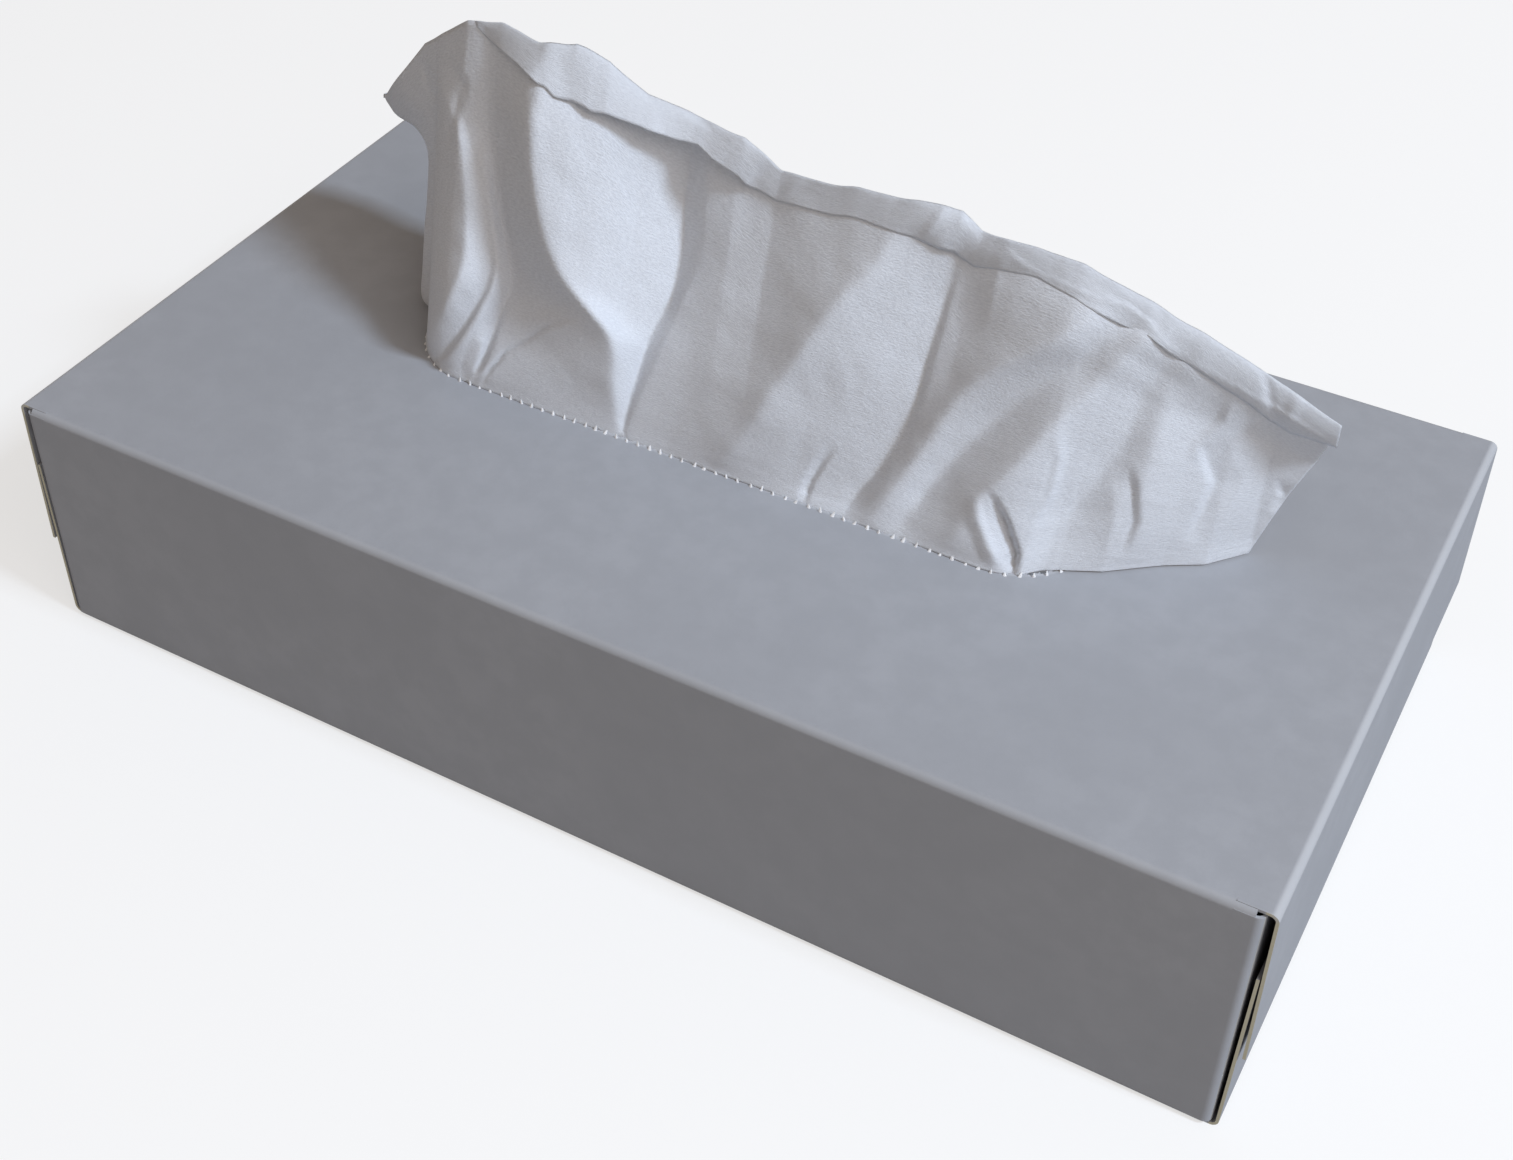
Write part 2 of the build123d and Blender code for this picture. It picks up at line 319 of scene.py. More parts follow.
# Hem that is turned over the crest: u, v of its free edge, how far it stands out, and
# the share by which the free edge is tucked back against the sheet
HEM = (
    (-124, 0.985, -1.2, 1.0),
    (-104, 0.98, -1.0, 1.0),
    (-92, 0.985, -0.6, 1.0),
    (-84, 0.996, -0.1, 1.0),
    (-81, 0.975, 0.3, 0.8),
    (-78, 0.955, 0.8, 0.6),
    (-74, 0.93, 1.2, 0.5),
    (-68, 0.915, 1.8, 0.3),
    (-62, 0.895, 2.0, 0.2),
    (-59, 0.885, 2.4, 0.1),
    (-56, 0.862, 2.8, 0.0),
    (-44, 0.852, 3.2, 0.0),
    (-30, 0.905, 3.4, 0.0),
    (-20, 0.912, 3.0, 0.0),
    (-14, 0.925, 2.8, 0.0),
    (-10, 0.905, 3.0, 0.1),
    (-4, 0.893, 2.8, 0.3),
    (0, 0.88, 2.0, 0.6),
    (3, 0.893, 1.0, 0.9),
    (8, 0.91, 0.5, 1.0),
    (30, 0.912, 1.3, 1.0),
    (44, 0.895, 2.6, 1.0),
    (48.5, 0.885, 3.4, 0.9),
    (51, 0.88, 3.2, 0.8),
    (57, 0.884, 1.4, 0.9),
    (64, 0.905, 1.2, 1.0),
    (75, 0.918, 1.5, 1.0),
    (86, 0.89, 1.8, 1.0),
    (96, 0.88, 2.0, 1.0),
    (103, 0.885, 1.9, 1.0),
    (108, 0.868, 1.9, 1.0),
    (118, 0.848, 2.2, 1.0),
    (128, 0.82, 2.2, 1.0),
    (132, 0.79, 1.2, 1.0),
    (137, 0.775, 2.0, 1.0),
    (148, 0.85, 0.6, 1.0),
)

# Torn edge of the outer ply along the hem's right half: u, v
TORN_PLY = (
    (66, 0.985),
    (72, 0.945),
    (78, 0.935),
    (86, 0.93),
    (96, 0.955),
    (102, 0.94),
    (106, 0.905),
    (114, 0.885),
    (126, 0.88),
    (148, 0.87),
)

# Left outline, where the side of the sheet turns back: v, u, depth, reach to the left
LEFT_SIDE = (
    (0.0, -91, 0.0, 0.0),
    (0.006, -96, 0.0, 0.3),
    (0.013, -101, 0.0, 0.5),
    (0.025, -104.5, 0.2, 0.6),
    (0.05, -106, 0.4, 0.6),
    (0.1, -106.3, 0.6, 0.5),
    (0.16, -106, 0.8, 0.4),
    (0.24, -105.8, 1.0, 0.3),
    (0.33, -105.6, 1.2, 0.2),
    (0.42, -105, 1.5, 0.0),
    (0.61, -104, 2.0, 0.0),
    (0.72, -109, 3.0, 0.0),
    (0.84, -118, 4.5, 0.0),
    (1.0, -124, 5.0, 0.0),
)

# Hidden side behind that outline: v, then how far its bend lies to the right of the
# outline and behind it, and the same for its end
RETURN = (
    (0.0, -4.0, 10.0, 4.5, 20.5),
    (0.1, -2.5, 9.5, 8.0, 19.0),
    (0.25, -1.5, 9.0, 12.0, 17.0),
    (0.6, -1.0, 8.0, 14.0, 13.0),
    (0.85, -1.0, 5.0, 10.0, 8.0),
    (1.0, 0.0, 3.0, 7.0, 5.0),
)

# Right cut edge, from the panel to the crest: v, u
RIGHT_EDGE = ((0.0, 134), (0.42, 140), (0.7, 144.5), (1.0, 148))

# Foot of the tissue right of the slot, where its cut edge stands on the panel: u, y
FOOT = (
    (94, -9.6),
    (105, -6.0),
    (117, 0.2),
    (126, 3.8),
    (134, 10.0),
    (148, 12.5),
)

# Path of the buried half, from the slot: how far back it runs and its height above the stack
BURIED_PATH = (
    (0.2, 9.0),
    (1.6, 6.5),
    (6.0, 3.9),
    (14.0, 1.65),
    (30.0, 1.35),
    (57.0, 1.35),
    (58.5, 0.9),
    (57.0, 0.45),
    (30.0, 0.45),
    (12.0, 0.45),
)

# Folds that run from the slot to the crest, from the left: how round each is, and then
# v, u and depth along it
FOLDS = (
    # Left outline
    (3.0, (0.0, -108, 1.0), (0.08, -108, 0.8), (0.16, -107.5, 0.8), (0.25, -107.3, 1.0),
     (0.42, -106, 1.5), (0.61, -105, 2.0), (0.72, -110, 3.0), (0.84, -119, 5.0), (1.0, -125, 5.0)),
    # Ridge of the left lobe
    (1.0, (0.0, -91.5, -1.2), (0.04, -94, -3.8), (0.12, -89.5, -5.2), (0.19, -86, -6.0),
     (0.28, -82, -6.2), (0.36, -80, -4.4), (0.45, -80.6, -3.0), (0.54, -82, -2.6), (0.7, -86, -2.0),
     (0.85, -98, -1.0), (1.0, -102, 1.0)),
    # First crease of the lobe, its left side
    (0.3, (0.0, -88.5, 0.5), (0.07, -83.5, -0.1), (0.12, -80.3, -0.6), (0.2, -76, -0.8),
     (0.29, -72, -0.4), (0.36, -70.5, 0.0), (0.45, -73, 0.0), (0.6, -78.5, -0.2), (0.7, -82.5, 0.0),
     (0.85, -91, 0.2), (1.0, -93, 0.8)),
    # and its right side
    (0.5, (0.0, -87, -0.6), (0.07, -81.8, -1.9), (0.12, -78.6, -2.7), (0.2, -74.4, -2.8),
     (0.29, -70.4, -1.6), (0.36, -69, -0.6), (0.45, -71, 0.1), (0.6, -75.5, 0.4), (0.7, -79.5, 0.8),
     (0.85, -84.5, 0.7), (1.0, -86, 0.6)),
    # Second crease of the lobe, its left side
    (0.3, (0.0, -75, 0.8), (0.07, -71.8, 1.0), (0.12, -69.8, 1.2), (0.18, -68.2, 1.8),
     (0.25, -66.2, 2.4), (0.31, -64.2, 3.2), (0.36, -64.2, 3.4), (0.45, -67.4, 3.2), (0.55, -71.4, 2.8),
     (0.75, -76.5, 2.0), (0.9, -77.5, 1.2), (1.0, -78, 0.6)),
    # and its right side
    (0.4, (0.0, -73.4, -0.6), (0.07, -70, -0.8), (0.12, -68.2, -0.6), (0.18, -66.6, 0.4),
     (0.25, -64.7, 1.8), (0.31, -62.6, 3.0), (0.36, -62.4, 3.2), (0.45, -65.4, 3.0), (0.55, -69.4, 2.6),
     (0.75, -74.2, 1.6), (0.9, -75, 0.8), (1.0, -75.5, 0.4)),
    # Left ridge of the smooth panel
    (1.5, (0.0, -26.2, 0.8), (0.03, -26.6, 0.6), (0.07, -28, 0.2), (0.1, -28.5, -0.5),
     (0.16, -30, -2.0), (0.25, -30.5, -3.2), (0.31, -33, -4.2), (0.345, -42, -4.8), (0.39, -49, -5.4),
     (0.47, -55, -6.2), (0.57, -59, -7.2), (0.68, -62, -7.8), (0.79, -63, -7.4), (0.9, -61.5, -5.0),
     (1.0, -60, -2.4)),
    # Deep crease at the right of that panel
    (0.3, (0.0, -25.2, 1.4), (0.04, -25.2, 1.8), (0.07, -25, 2.2), (0.15, -24, 3.2), (0.27, -22, 4.9),
     (0.36, -20, 6.6), (0.45, -16.2, 9.0), (0.54, -14.8, 10.8), (0.64, -14.6, 12.2), (0.78, -16, 13.4),
     (0.9, -15.8, 13.4), (1.0, -14, 11.4)),
    # Ridge that rises out of the deep crease
    (0.4, (0.0, -24.2, 1.0), (0.05, -24, 1.2), (0.11, -22.6, 1.6), (0.22, -19.4, 2.2),
     (0.32, -16.6, 3.6), (0.42, -14.2, 6.0), (0.5, -12.4, 6.8), (0.57, -10, 7.8), (0.67, -9, 9.2),
     (0.79, -10, 10.2), (0.88, -11, 10.4), (1.0, -10, 9.2)),
    # Soft bend beside it
    (2.6, (0.0, -14, 0.9), (0.3, -8, 2.1), (0.45, -8, 5.0), (0.57, -7, 6.2), (0.64, -5.5, 7.2),
     (0.75, -1.5, 8.4), (0.85, 3, 8.4), (1.0, 6, 7.2)),
    # Wide bend of the middle
    (6.0, (0.0, -7, 0.6), (0.3, 3, 0.0), (0.5, 7, 1.5), (0.7, 13, 2.9), (1.0, 24, 2.8)),
    # Ridge of the middle
    (1.4, (0.0, 2, 0.0), (0.1, 7, -2.2), (0.23, 12, -3.4), (0.32, 14.5, -3.8), (0.44, 20, -4.2),
     (0.51, 22, -4.2), (0.66, 28, -3.6), (0.77, 35, -2.4), (0.85, 38, -1.6), (1.0, 42, -0.5)),
    # Tall crease right of the middle, its left side
    (0.4, (0.0, 40.2, 1.0), (0.06, 42, 2.6), (0.11, 43.6, 3.6), (0.18, 47.2, 4.0), (0.33, 51.6, 4.1),
     (0.43, 53.5, 3.8), (0.57, 54.2, 3.6), (0.65, 55, 3.5), (0.75, 55.5, 3.1), (0.88, 56.2, 1.8),
     (1.0, 57, 0.5)),
    # and its right side
    (0.3, (0.0, 45, 0.4), (0.02, 45.4, 0.3), (0.12, 48.4, 0.8), (0.24, 52.2, 1.8), (0.34, 54.2, 2.5),
     (0.43, 55, 2.6), (0.57, 55.6, 2.5), (0.65, 56.3, 2.4), (0.75, 56.7, 2.1), (0.88, 57.6, 1.2),
     (1.0, 58.6, 0.2)),
    # Soft bend right of the tall crease
    (2.4, (0.0, 45.8, 0.3), (0.02, 46.4, 0.05), (0.12, 49.6, 0.2), (0.24, 53.9, 0.7), (0.31, 55.7, 0.9),
     (0.43, 57, 1.5), (0.52, 58.4, 1.6), (0.65, 60.5, 1.6), (0.75, 63, 1.3), (0.88, 66, 0.7),
     (1.0, 69, 0.2)),
    # First leaning ridge
    (1.6, (0.0, 46.6, 0.2), (0.02, 47.4, -0.2), (0.14, 51.4, -0.4), (0.24, 55.6, -0.4),
     (0.31, 57.8, -0.8), (0.44, 61, -1.4), (0.52, 64, -2.0), (0.61, 69.5, -3.2), (0.68, 76, -4.6),
     (0.75, 83, -5.0), (0.85, 88, -3.2), (1.0, 93, -0.8)),
    # Hollow between the leaning ridges
    (1.4, (0.0, 55, 0.8), (0.06, 56.5, 1.6), (0.17, 60, 2.6), (0.33, 66.5, 3.0), (0.48, 74, 2.2),
     (0.6, 81, 0.6), (0.69, 87, -0.6), (0.77, 92, -1.6), (0.9, 97, -0.6), (1.0, 101, 0.0)),
    # Second leaning ridge
    (1.4, (0.0, 68, 0.0), (0.08, 70, -1.6), (0.23, 74.5, -2.8), (0.33, 80, -3.2), (0.48, 86, -3.6),
     (0.59, 91, -4.0), (0.74, 96.5, -4.0), (0.81, 99.5, -3.0), (1.0, 107, -0.4)),
    # Hollow right of it
    (1.6, (0.0, 92, 0.0), (0.1, 93, 0.8), (0.23, 96, 1.8), (0.5, 103.5, 0.8), (0.74, 105, -0.4),
     (1.0, 112, 0.2)),
    # Ridge near the right edge
    (1.6, (0.0, 110, 0.0), (0.12, 110, -1.4), (0.3, 109, -2.4), (0.48, 109, -2.0), (0.77, 109, -1.0),
     (1.0, 117, 0.0)),
    # Soft hollow at the right edge
    (3.5, (0.0, 122, 0.0), (0.15, 123, 0.6), (0.36, 125, 1.0), (0.56, 123, 1.4), (1.0, 134, 0.8)),
    # Right edge
    (3.0, (0.0, 134, 0.0), (0.1, 136, 1.6), (0.42, 140.5, 3.0), (0.7, 145, 2.6), (1.0, 149, 1.0)),
)

# Short creases: depth, widths of their left and right flanks in millimetres, and u, v along them
CREASES = (
    (-0.9, 2.4, 1.4, (-74.5, -0.03), (-73.8, 0.05), (-72, 0.12), (-69.5, 0.2)),
    (1.1, 2.2, 1.2, (-93, 0.9), (-85, 0.83), (-87, 0.77), (-90, 0.71), (-90, 0.63)),
    (0.8, 1.5, 3.0, (-108, 0.97), (-105, 0.88), (-103, 0.78)),
    (0.9, 3.5, 2.0, (-103, 0.78), (-98, 0.66), (-97, 0.5)),
    (0.8, 1.2, 2.5, (-71, 0.77), (-70, 0.7), (-71, 0.64)),
    (1.0, 0.8, 0.6, (-76, -0.06), (-68, 0.07), (-64, 0.13), (-58, 0.18), (-53, 0.23), (-46, 0.28),
     (-38, 0.32)),
    (-0.9, 3.0, 4.0, (-58, 0.2), (-50, 0.25), (-42, 0.3), (-30, 0.34)),
    (0.9, 1.6, 0.8, (35, 0.22), (32, 0.15), (30, 0.08), (29, -0.02)),
    (-0.15, 3.0, 1.6, (28, 0.56), (33, 0.47), (37, 0.34)),
    (2.2, 3.2, 0.6, (75, 0.25), (78, 0.23), (82, 0.17), (86, 0.08), (87, -0.05)),
    (-1.0, 2.0, 1.2, (73, 0.23), (75, 0.15), (79, 0.08), (85, 0.0)),
    (-0.7, 1.0, 0.9, (88, 0.5), (90, 0.4), (90, 0.28), (88, 0.18)),
    (0.7, 1.0, 2.4, (137, 0.5), (139, 0.4), (137, 0.28)),
    (1.0, 2.6, 1.0, (104, 0.44), (107, 0.34), (109, 0.2), (108, 0.06)),
    (1.2, 1.2, 3.4, (118, 0.62), (124, 0.42), (123, 0.28), (121, 0.12)),
    (-0.8, 1.4, 3.0, (124, 0.84), (123, 0.7), (119, 0.58), (118, 0.48)),
    (0.6, 3.0, 3.0, (94, 0.8), (104, 0.8), (116, 0.76)),
)

# Pinches across the hem: u on the crest, u on the free edge, depth, width in u
PINCHES = (
    (-50, -50, 0.4, 5.0),
    (-29, -27, -0.3, 3.0),
    (-3, -10, -0.5, 2.2),
    (7, 1, 1.0, 2.6),
    (14, 9, -0.6, 2.4),
    (20, 16, 0.3, 2.0),
    (36, 34, -0.3, 3.0),
    (51, 46.5, -0.9, 1.4),
    (61, 58, 0.5, 2.0),
    (80, 82, -0.3, 3.0),
    (104, 104, 0.5, 2.0),
    (117, 113, -0.5, 3.0),
    (129, 133, 1.0, 2.0),
    (138, 135, -0.8, 2.0),
)

# Unevenness of handled paper: how wide its lumps and facets are and how deep
LUMPS = ((21, 0.7), (9, 0.28), (3.5, 0.08))
FACETS = (13, 0.5)

# Rises and dips of the crest: how wide and how high
WAVES = ((9, 0.7), (4, 0.2))

# Facets of the sheet
RETURN_COLUMNS = 18     # across the hidden side
COLUMNS = 400           # and across the rest of the sheet
NECK_SHARE = 0.80       # share of those columns that pass through the slot
FACE_ROWS = 90          # between the slot and the crest
ROW_CROWDING = 1.4      # above 1, they lie closer together near the slot
HEM_ROWS = 17
BURIED_ROWS = 12

# How the sheet stands at the slot and on the panel
FOOT_GAP = 0.25         # between the torn edge of the slot and the middle of the sheet
OVERHANG = 0.65         # how far the sheet then leans out over that edge
OVERHANG_RISE = 0.12    # and the height by which it does
ON_PANEL = (88, 96)     # u between which the foot leaves the slot and stands on the panel
EDGE_CLEARANCE = 0.09   # least height above the panel at the slot
FOOT_CLEARANCE = 0.35   # and right of it
SLOT_DROP = 3.0         # how far the folds may sink into the slot
EDGE_DEPTH = 0.7        # share of the folds' depth at the slot
FOLD_RISE = 0.05        # v by which they have their full depth
RIDGE_RISE = 0.035      # v by which folds come forward at all
CALM_RISE = 0.12        # v by which the unevenness is full
CREASE_TAPER = 0.3      # share of a short crease over which it starts, and ends
LEAN = 1.5              # depth of the whole crest
LEAN_END = (80, 140)    # u between which the lean dies out
SIDE_REACH = 7          # u over which the left side turns towards its outline
SIDE_BACK = 1.0         # by which it lies deeper there than its table says

# How the hidden parts lie
RETURN_OPENING = 0.12   # share of the left side's turn that is left, as a root, at the buried edge
RETURN_DROP = 0.18      # share of its height by which its end hangs lower
SPREAD_RUN = 0.55       # share of the buried half over which it spreads to the stack's width
SPREAD_BEND = 1.3       # above 1, it spreads slowly at first
SPREAD_FORWARD = 13.0   # how far forward it comes meanwhile
SLOT_RUN = 0.12         # share of the buried half that still follows the foot's height
TAIL_SHARE = 0.97       # width of its end, as a share of the stack's length

# How the hem lies
HEM_GAP = 0.13          # between the hem and the sheet behind it
HEM_CROWDING = 1.15     # above 1, its rows lie closer together near the crest
HEM_SWELL = 0.75        # below 1, it stands out soon after the crest
HEM_TUCK = 1.6          # above 1, it goes back to the sheet late
HEM_STAND = (0.3, 0.5)  # least stand-out of an edge that isn't tucked, and its share of the table's
HEM_BRIDGE = 120        # passes that even out the folds below the hem
BRIDGE_TURN = 1 / 3     # share of the hem by which it has left those folds
HEM_UNEVEN = 0.45       # share of the sheet's unevenness
HEM_SHIFT = 3.0         # v by which its unevenness is taken from elsewhere
PINCH_TOP = 0.3         # share of a pinch's depth on the crest
HEM_ROLL = 2.4          # how far the sheet rolls forward under the hem's right half
ROLL_RISE = (0.66, 0.88)  # heights between which it does
ROLL_ACROSS = (58, 66)  # and u between which that starts
PLY_STEP = 0.5          # how far the torn ply stands out on the hem
PLY_SINK = 0.6          # and how far it sinks again to the free edge
PLY_ACROSS = (66, 70)   # u between which the torn ply starts
PLY_EDGE = 0.005        # v over which its edge steps out
PLY_RAGGED = (1.3, 0.011)  # how wide its raggedness is, in u, and how high, in v


def column(table, i):
    return [row[i] for row in table]


def level(table, at, i):
    """Column i of a table at places given by its first column."""
    return np.interp(at, column(table, 0), column(table, i))


def ramp(value, low, high):
    """0 up to low, 1 from high on and even between them."""
    return np.clip((value - low) / (high - low), 0, 1)


def ease(line, passes):
    """Rounds the bends of a line of numbers and keeps its ends."""
    line = line.copy()
    for _ in range(passes):
        line[1:-1] = (line[:-2] + 2 * line[1:-1] + line[2:]) / 4
    return line


def fold_depth(u, v):
    """Depth of the long folds at each u, v of the grid."""
    heights = v[:, 0]
    places = [ease(level(fold[1:], heights, 1), 5) for fold in FOLDS]
    depths = [ease(level(fold[1:], heights, 2), 5) for fold in FOLDS]
    depth = np.empty_like(u)
    for j in range(len(u)):
        at = np.array([line[j] for line in places])
        deep = np.array([line[j] for line in depths])
        slopes = np.diff(deep) / np.diff(at)
        depth[j] = deep[0] + slopes[0] * (u[j] - at[0])
        for fold, place, turn in zip(FOLDS[1:-1], at[1:-1], np.diff(slopes)):
            apart = u[j] - place
            depth[j] += turn * (apart + np.sqrt(apart ** 2 + fold[0] ** 2)) / 2
    return depth


def spread_out(u, v):
    """Millimetres across and up the sheet."""
    return u * HALF_SLOT / 100, v * level(CREST, u, 2)


def tent(line, left, right, across, up):
    """1 along a line, 0 beyond its flanks, and lower towards its ends."""
    runs = [math.dist(a, b) for a, b in zip(line, line[1:])]
    nearest = np.full_like(across, np.inf)
    height = np.zeros_like(across)
    done = 0.0
    for (ax, ay), (bx, by), run in zip(line, line[1:], runs):
        dx, dy = (bx - ax) / run, (by - ay) / run
        along = np.clip((across - ax) * dx + (up - ay) * dy, 0, run)
        off = np.hypot(across - ax - along * dx, up - ay - along * dy)
        upward = np.sign(dy if abs(dy) > 0.3 * abs(dx) else -dx)
        right_of = ((across - ax) * dy - (up - ay) * dx) * upward
        width = np.where(right_of > 0, right, left)
        part = (done + along) / sum(runs)
        fade = ramp(np.minimum(part, 1 - part), 0, CREASE_TAPER)
        height = np.where(off < nearest, fade * (1 - ramp(off, 0, width)), height)
        nearest = np.minimum(nearest, off)
        done += run
    return height


def crease_depth(u, v):
    """Depth of the short creases at each u, v of the grid."""
    depth = np.zeros_like(u)
    for deep, left, right, *points in CREASES:
        line = [spread_out(*point) for point in points]
        depth += deep * tent(line, left, right, *spread_out(u, v))
    return depth


def crumple(u, v):
    """Depth of the unevenness of handled paper."""
    across, up = spread_out(u, v)
    depth = np.zeros_like(u)
    for spot in np.ndindex(u.shape):
        at = Vector((across[spot], up[spot], 0))
        depth[spot] = sum(deep * noise.noise(at / wide) for wide, deep in LUMPS)
        depth[spot] += FACETS[1] * noise.voronoi(at / FACETS[0])[0][0]
    return depth


def waves(x):
    """Rise of the crest's ragged line at each x."""
    rise = np.zeros_like(x)
    for i, (wide, high) in enumerate(WAVES):
        rise += [high * noise.noise(Vector((at / wide, 5 * i, 0))) for at in x]
    return rise


def slot_front(x):
    """Y of the slot's front edge at each x."""
    into_arc = np.clip(np.abs(x) - SLOT_STRAIGHT / 2, 0, SLOT_RADIUS)
    return -np.sqrt(SLOT_RADIUS ** 2 - into_arc ** 2)


def plain_face(u, v):
    """X, Y and Z of the sheet before its folds, straight from its foot to its crest."""
    x = u * HALF_SLOT / 100
    past = ramp(u, *ON_PANEL)
    foot_y = (slot_front(x) + FOOT_GAP) * (1 - past) + level(FOOT, u, 1) * past
    foot_rise = FOOT_CLEARANCE * past
    leaning = ramp(v * level(CREST, u, 2), 0, OVERHANG_RISE) * (1 - v) * (1 - past)
    y = foot_y + (level(CREST, u, 1) - foot_y) * v - OVERHANG * leaning
    z = BOX_HEIGHT + foot_rise + (level(CREST, u, 2) - foot_rise) * v + waves(x[-1]) * v ** 3
    return np.stack([x, y, z], -1)


def pushed(points, depth):
    """Points moved along the line of sight."""
    sight = points - np.array(CAMERA_PLACE) / MM
    return points + sight / np.linalg.norm(sight, axis=-1, keepdims=True) * depth[..., None]


def above_panel(points, u):
    """Points lifted where they would sink into the panel."""
    over_panel = (points[..., 1] < slot_front(points[..., 0])) | (np.abs(points[..., 0]) > HALF_SLOT)
    clear = EDGE_CLEARANCE + (FOOT_CLEARANCE - EDGE_CLEARANCE) * ramp(u, *ON_PANEL)
    lowest = BOX_HEIGHT + np.where(over_panel, clear, -SLOT_DROP)
    points[..., 2] = np.maximum(points[..., 2], lowest)
    return points


def face_depth(u, v):
    """Depth of the face with all its folds, calmer near the slot's edge."""
    depth = fold_depth(u, v) + crease_depth(u, v)
    depth *= EDGE_DEPTH + (1 - EDGE_DEPTH) * ramp(v, 0, FOLD_RISE)
    depth = np.where(depth < 0, depth * ramp(v, 0, RIDGE_RISE), depth)
    rolled = ramp(v, *ROLL_RISE)
    depth -= HEM_ROLL * rolled ** 2 * (3 - 2 * rolled) * ramp(u, *ROLL_ACROSS)
    depth += crumple(u, v) * ramp(v, 0, CALM_RISE)
    return depth + LEAN * v * (1 - ramp(u, *LEAN_END))


def sheet_face(share):
    """The sheet from the slot up to the crest: its points, and the u, v and depth of each."""
    v = np.linspace(0, 1, FACE_ROWS + 1)[:, None] ** ROW_CROWDING * np.ones(COLUMNS + 1)
    left = ease(level(LEFT_SIDE, v[:, 0], 1), 10)[:, None]
    middle = FOOT[0][0] + 12 * v
    right = level(RIGHT_EDGE, v, 1)
    u = left + (middle - left) * ramp(share, 0, NECK_SHARE)
    u = u + (right - middle) * ramp(share, NECK_SHARE, 1)
    near_side = (1 - ramp(u, left, left + SIDE_REACH)) ** 2
    side = ease(level(LEFT_SIDE, v[:, 0], 2), 10)[:, None] + SIDE_BACK
    depth = face_depth(u, v) + near_side * side
    points = pushed(plain_face(u, v), depth)
    points[..., 0] -= near_side * ease(level(LEFT_SIDE, v[:, 0], 3), 4)[:, None]
    return above_panel(points, u), u, v, depth


def torn_ply(u, v):
    """How far the hem's torn outer ply stands out."""
    wide, high = PLY_RAGGED
    ragged = np.array([noise.noise(Vector((at / wide, 9, 0))) for at in u])
    below = level(TORN_PLY, u, 1) + high * ragged - v
    sunk = ramp(below, 0, np.maximum(below[-1], 0.01)) ** 2
    return ramp(below, 0, PLY_EDGE) * ramp(u, *PLY_ACROSS) * (PLY_STEP - PLY_SINK * sunk)


def sheet_hem(u, v, depth):
    """The hem, turned over the crest towards the front of the face."""
    turn = np.linspace(0, 1, HEM_ROWS + 1)[1:, None]
    top_u = u[-1]
    puff = ease(level(HEM, top_u, 2), 2)
    tuck = ease(level(HEM, top_u, 3), 2)
    hem_v = 1 - (1 - level(HEM, top_u, 1)) * turn ** HEM_CROWDING
    bridged = ease(depth[-1], HEM_BRIDGE)
    hem = depth[-1] + (bridged - depth[-1]) * ramp(turn, 0, BRIDGE_TURN) - puff * turn ** HEM_SWELL
    hem += HEM_UNEVEN * crumple(top_u + 0 * turn, hem_v + HEM_SHIFT) * turn
    for top_at, edge_at, deep, width in PINCHES:
        apart = np.abs(top_u - top_at - (edge_at - top_at) * turn)
        hem += deep * (1 - ramp(apart, 0, width)) * (PINCH_TOP + (1 - PINCH_TOP) * turn)
    hem -= torn_ply(top_u, hem_v)

    # Where it stands out, its free edge goes back to the sheet by its tuck, and never into it
    for i in np.flatnonzero(puff > 0):
        against = np.interp(hem_v[:, i], v[:, 0], depth[:, i]) - HEM_GAP
        inward = tuck[i] * turn[:, 0] ** HEM_TUCK
        hanging = hem[:, i] * (1 - inward) + against * inward
        least = HEM_STAND[0] + HEM_STAND[1] * puff[i]
        standing = against - least * turn[:, 0] * (1 - tuck[i])
        hem[:, i] = np.minimum(hanging, standing)
    hem = np.array([ease(row, 1) for row in hem])
    return pushed(plain_face(top_u + 0 * turn, hem_v), hem)


def buried_half(share, slot_row):
    """The lower half, from the slot down to the stack, back along it and tucked under."""
    run = np.linspace(1, 0, BURIED_ROWS + 1)[:-1, None]
    knots = np.linspace(0, 1, len(BURIED_PATH))
    spread = ramp(run, 0, SPREAD_RUN) ** SPREAD_BEND
    tail_x = (ramp(share, 0, NECK_SHARE) - 0.5) * STACK_LENGTH * TAIL_SHARE
    x = slot_row[:, 0] * (1 - spread) + tail_x * spread
    y = slot_row[:, 1] * (1 - spread) - SPREAD_FORWARD * spread
    y = y + np.interp(run, knots, column(BURIED_PATH, 0))
    z = STACK_TOP + np.interp(run, knots, column(BURIED_PATH, 1))
    z = z - (BOX_HEIGHT - slot_row[:, 2]) * (1 - ramp(run, 0, SLOT_RUN))
    return np.stack([x, y, z], -1)


def hidden_side(rows, heights):
    """The strip that turns back behind the left outline. Its last column repeats the
    outline, which keeps that fold sharp."""
    part = np.linspace(0, 1, RETURN_COLUMNS + 1)[:-1][::-1, None, None]
    start = rows[:, 0]
    opening = np.ones(len(rows))
    opening[:BURIED_ROWS] = np.linspace(RETURN_OPENING, 1, BURIED_ROWS) ** 2
    bend, end = start.copy(), start.copy()
    for line, i in ((bend, 1), (end, 3)):
        line[:, 0] += level(RETURN, heights, i) * opening
        line[:, 1] += level(RETURN, heights, i + 1) * opening
    turned = start * (1 - part) ** 2 + 2 * bend * part * (1 - part) + end * part ** 2
    drop = (start[:, 2] - BOX_HEIGHT) * RETURN_DROP * (heights > 0)
    turned[..., 2] = start[:, 2] - drop * part[..., 0] ** 2
    return turned.transpose(1, 0, 2)


